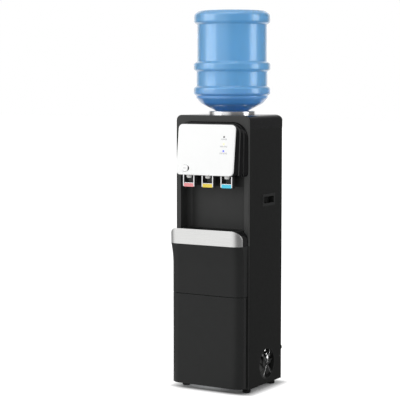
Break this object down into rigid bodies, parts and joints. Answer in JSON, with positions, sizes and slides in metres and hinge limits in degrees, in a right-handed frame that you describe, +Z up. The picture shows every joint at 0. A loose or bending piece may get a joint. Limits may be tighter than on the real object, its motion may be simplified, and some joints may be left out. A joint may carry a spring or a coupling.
{
  "type": "water cooler",
  "caption": "Free-standing water cooler: inverted bottle on top, tilted control face over lever taps, cup niche, drip tray with a silver lip and a hinged storage door.",
  "frame": {"origin": "bottom centre of the whole object's box, on the floor under the cabinet", "axes": "+Z up, the front with the taps faces -Y, +X to the right as seen from the front"},
  "size_m": [0.302, 0.3409, 1.359],
  "materials": {
    "bezel_grey": "satin dark grey",
    "bottle_blue": "translucent blue polycarbonate",
    "brushed_trim": "fine horizontal brushing",
    "cap_blue": "blue polyethylene",
    "case_black": "fine satin black",
    "chrome_trim": "bright plated",
    "copper": "drawn copper tube",
    "foam": "expanded polystyrene",
    "gloss_black": "high-gloss black",
    "label_cyan": "light blue for cold",
    "label_pink": "pink for hot",
    "label_yellow": "yellow for room temperature",
    "lamp_blue": "lit lens",
    "lamp_dark": "unlit lens",
    "lamp_yellow": "lit lens",
    "machine_black": "black enamel",
    "nozzle_white": "white food-grade plastic",
    "panel_white": "glossy white",
    "rubber_black": "black rubber",
    "seat_white": "white polypropylene",
    "side_steel": "black powder-coated sheet",
    "silicone": "clear silicone tube",
    "steel_bright": "stainless sheet",
    "store_grey": "dark grey liner",
    "switch_green": "green rocker",
    "switch_red": "red rocker",
    "zinc": "galvanised sheet"
  },
  "bodies": {
    "cabinet": {"base_pan": "zinc", "levelling_feet": "rubber_black", "left_side_panel": "side_steel", "right_side_panel": "side_steel", "side_grips": "case_black", "rear_panel": "zinc", "top_cover": "gloss_black", "front_bezel": "bezel_grey", "niche_liner": "bezel_grey", "lower_frame": "case_black", "upper_front_panel": "case_black", "tray_trim": "brushed_trim", "tray_housing": "gloss_black", "storage_box": "store_grey", "door_hinge": "zinc", "cabinet_screws": "steel_bright", "head_shell": "gloss_black", "control_panel": "panel_white", "tap_bracket": "case_black", "tap_block": "case_black", "tap_nozzles": "nozzle_white", "tap_valves": "nozzle_white", "power_lamp": "lamp_dark", "heating_lamp": "lamp_yellow", "cooling_lamp": "lamp_blue", "bottle_collar": "chrome_trim", "bottle_seat": "seat_white", "feed_probe": "seat_white", "tank_shelves": "zinc", "tank_insulation": "foam", "cold_tank": "steel_bright", "hot_tank": "steel_bright", "water_tubes": "silicone", "compressor": "machine_black", "condenser_tube": "machine_black", "condenser_grid": "machine_black", "refrigerant_tubes": "copper", "fan_frame": "case_black", "vent_guard": "case_black", "rear_fittings": "case_black"},
    "bottle": {"water_bottle": "bottle_blue", "bottle_cap": "cap_blue"},
    "door": {"door_skin": "case_black", "door_liner": "case_black"},
    "tray": {"drip_tray": "case_black"},
    "grille": {"drip_grille": "case_black"},
    "lock_button": {"child_lock_button": "panel_white"},
    "fan": {"fan_rotor": "bezel_grey"},
    "drain_cap": {"drain_cap": "case_black"},
    "heat_rocker": {"heat_switch": "switch_red"},
    "cool_rocker": {"cool_switch": "switch_green"},
    "hot_lever": {"hot_lever_frame": "chrome_trim", "hot_lever_pad": "gloss_black", "hot_lever_label": "label_pink"},
    "room_lever": {"room_lever_frame": "chrome_trim", "room_lever_pad": "gloss_black", "room_lever_label": "label_yellow"},
    "cold_lever": {"cold_lever_frame": "chrome_trim", "cold_lever_pad": "gloss_black", "cold_lever_label": "label_cyan"}
  },
  "joints": [
    {"name": "bottle_lift", "type": "slide", "parent": "cabinet", "child": "bottle", "axis": [0, 0, 1], "range_m": [0, 0.12]},
    {"name": "door_swing", "type": "hinge", "parent": "cabinet", "child": "door", "pos_m": [-0.1364, -0.11825, 0.023], "axis": [0, 0, -1], "range_deg": [0, 90]},
    {"name": "tray_lift", "type": "slide", "parent": "cabinet", "child": "tray", "axis": [0, 0, 1], "range_m": [0, 0.06]},
    {"name": "grille_lift", "type": "slide", "parent": "tray", "child": "grille", "axis": [0, 0, 1], "range_m": [0, 0.05]},
    {"name": "lock_press", "type": "slide", "parent": "cabinet", "child": "lock_button", "axis": [0, 0.9932, -0.1165], "range_m": [0, 0.002], "stiffness_N_per_m": 600, "springref_m": -0.002},
    {"name": "fan_spin", "type": "hinge", "parent": "cabinet", "child": "fan", "pos_m": [0.1238, 0.02955, 0.088], "axis": [1, 0, 0], "continuous": true},
    {"name": "drain_cap_off", "type": "slide", "parent": "cabinet", "child": "drain_cap", "axis": [0, 1, 0], "range_m": [0, 0.012]},
    {"name": "hot_lever_press", "type": "hinge", "parent": "cabinet", "child": "hot_lever", "pos_m": [-0.0775, -0.12045, 0.793], "axis": [1, 0, 0], "range_deg": [0, 12], "stiffness_Nm_per_rad": 0.4, "springref_deg": -8.59},
    {"name": "room_lever_press", "type": "hinge", "parent": "cabinet", "child": "room_lever", "pos_m": [0, -0.12045, 0.793], "axis": [1, 0, 0], "range_deg": [0, 12], "stiffness_Nm_per_rad": 0.4, "springref_deg": -8.59},
    {"name": "cold_lever_press", "type": "hinge", "parent": "cabinet", "child": "cold_lever", "pos_m": [0.0775, -0.12045, 0.793], "axis": [1, 0, 0], "range_deg": [0, 12], "stiffness_Nm_per_rad": 0.4, "springref_deg": -8.59},
    {"name": "heat_rocker_tip", "type": "hinge", "parent": "cabinet", "child": "heat_rocker", "pos_m": [-0.107, 0.14275, 0.215], "axis": [1, 0, 0], "range_deg": [0, 24]},
    {"name": "cool_rocker_tip", "type": "hinge", "parent": "cabinet", "child": "cool_rocker", "pos_m": [-0.083, 0.14275, 0.215], "axis": [1, 0, 0], "range_deg": [0, 24]}
  ]
}
